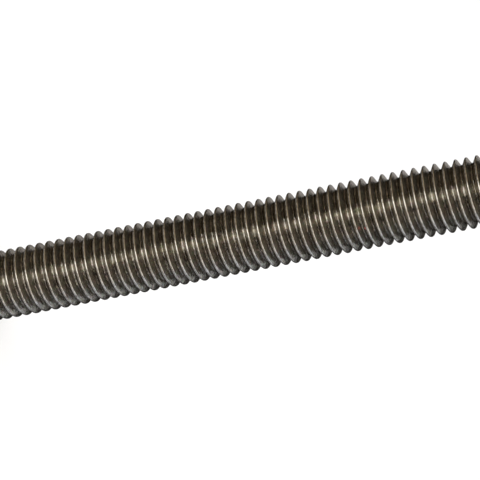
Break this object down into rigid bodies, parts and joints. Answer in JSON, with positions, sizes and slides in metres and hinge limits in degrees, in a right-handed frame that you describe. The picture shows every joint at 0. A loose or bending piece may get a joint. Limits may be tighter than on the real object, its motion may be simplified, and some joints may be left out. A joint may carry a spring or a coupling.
{
  "type": "threaded rod",
  "caption": "Fully threaded steel rod with a right-hand thread along its whole length and square-cut, chamfered ends.",
  "frame": {"origin": "centre of the foot end's flat face, which the rod stands on", "axes": "+Z along the rod's axis from the foot end to the top end; +X and +Y square to it, and since the rod is round their turn about Z only sets where the thread starts"},
  "size_m": [0.0098, 0.0098, 0.08],
  "materials": {
    "plain_steel": "plain uncoated steel, dark in the grooves and bright on the worn crests, lightly oiled"
  },
  "bodies": {
    "root": {"rod": "plain_steel"}
  },
  "joints": []
}
